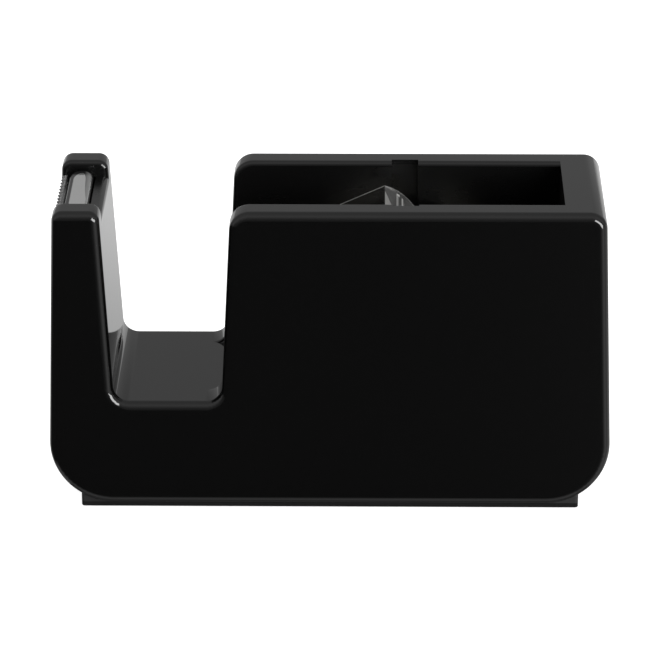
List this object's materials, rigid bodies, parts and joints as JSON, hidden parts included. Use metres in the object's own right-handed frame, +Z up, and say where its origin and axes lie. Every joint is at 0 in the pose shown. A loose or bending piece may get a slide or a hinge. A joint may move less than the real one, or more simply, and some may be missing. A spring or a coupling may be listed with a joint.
{
  "type": "desk tape dispenser",
  "caption": "Weighted desk tape dispenser: glossy double-walled body with a slanted gap, serrated steel cutter on a tower, and a lift-out roll on a spool and axle.",
  "frame": {"origin": "on the desk, under the middle of the body", "axes": "+Z up, +X along the body from the cutter tower to the back wall, Y across it"},
  "size_m": [0.1392, 0.0472, 0.0791],
  "materials": {
    "body_black": "piano black gloss",
    "plate_black": "fine matt texture",
    "hub_black": "satin moulded",
    "pad_rubber": "matt foam rubber",
    "screw_steel": "zinc plated",
    "weight_iron": "as cast",
    "bright_steel": "polished",
    "blade_steel": "bright rolled strip",
    "core_white": "moulded",
    "tape_clear": "wound clear film",
    "tape_film": "clear film"
  },
  "bodies": {
    "base": {"body_shell": "body_black", "base_plate": "plate_black", "non_slip_pad": "pad_rubber", "base_screws": "screw_steel", "weight_screws": "screw_steel", "ballast": "weight_iron", "blade_holder": "plate_black", "landing_bar": "bright_steel", "cutter_blade": "blade_steel", "holder_screws": "screw_steel"},
    "axle": {"hub_axle": "hub_black"},
    "roll": {"spool_near": "hub_black", "spool_far": "hub_black", "tape_core": "core_white", "tape_roll": "tape_clear", "tape_tail": "tape_film"}
  },
  "joints": [
    {"name": "roll_lift", "type": "slide", "parent": "base", "child": "axle", "axis": [0, 0, 1], "range_m": [0, 0.066]},
    {"name": "roll_spin", "type": "hinge", "parent": "axle", "child": "roll", "pos_m": [0.01855, 0, 0.0451], "axis": [0, 1, 0], "continuous": true}
  ]
}
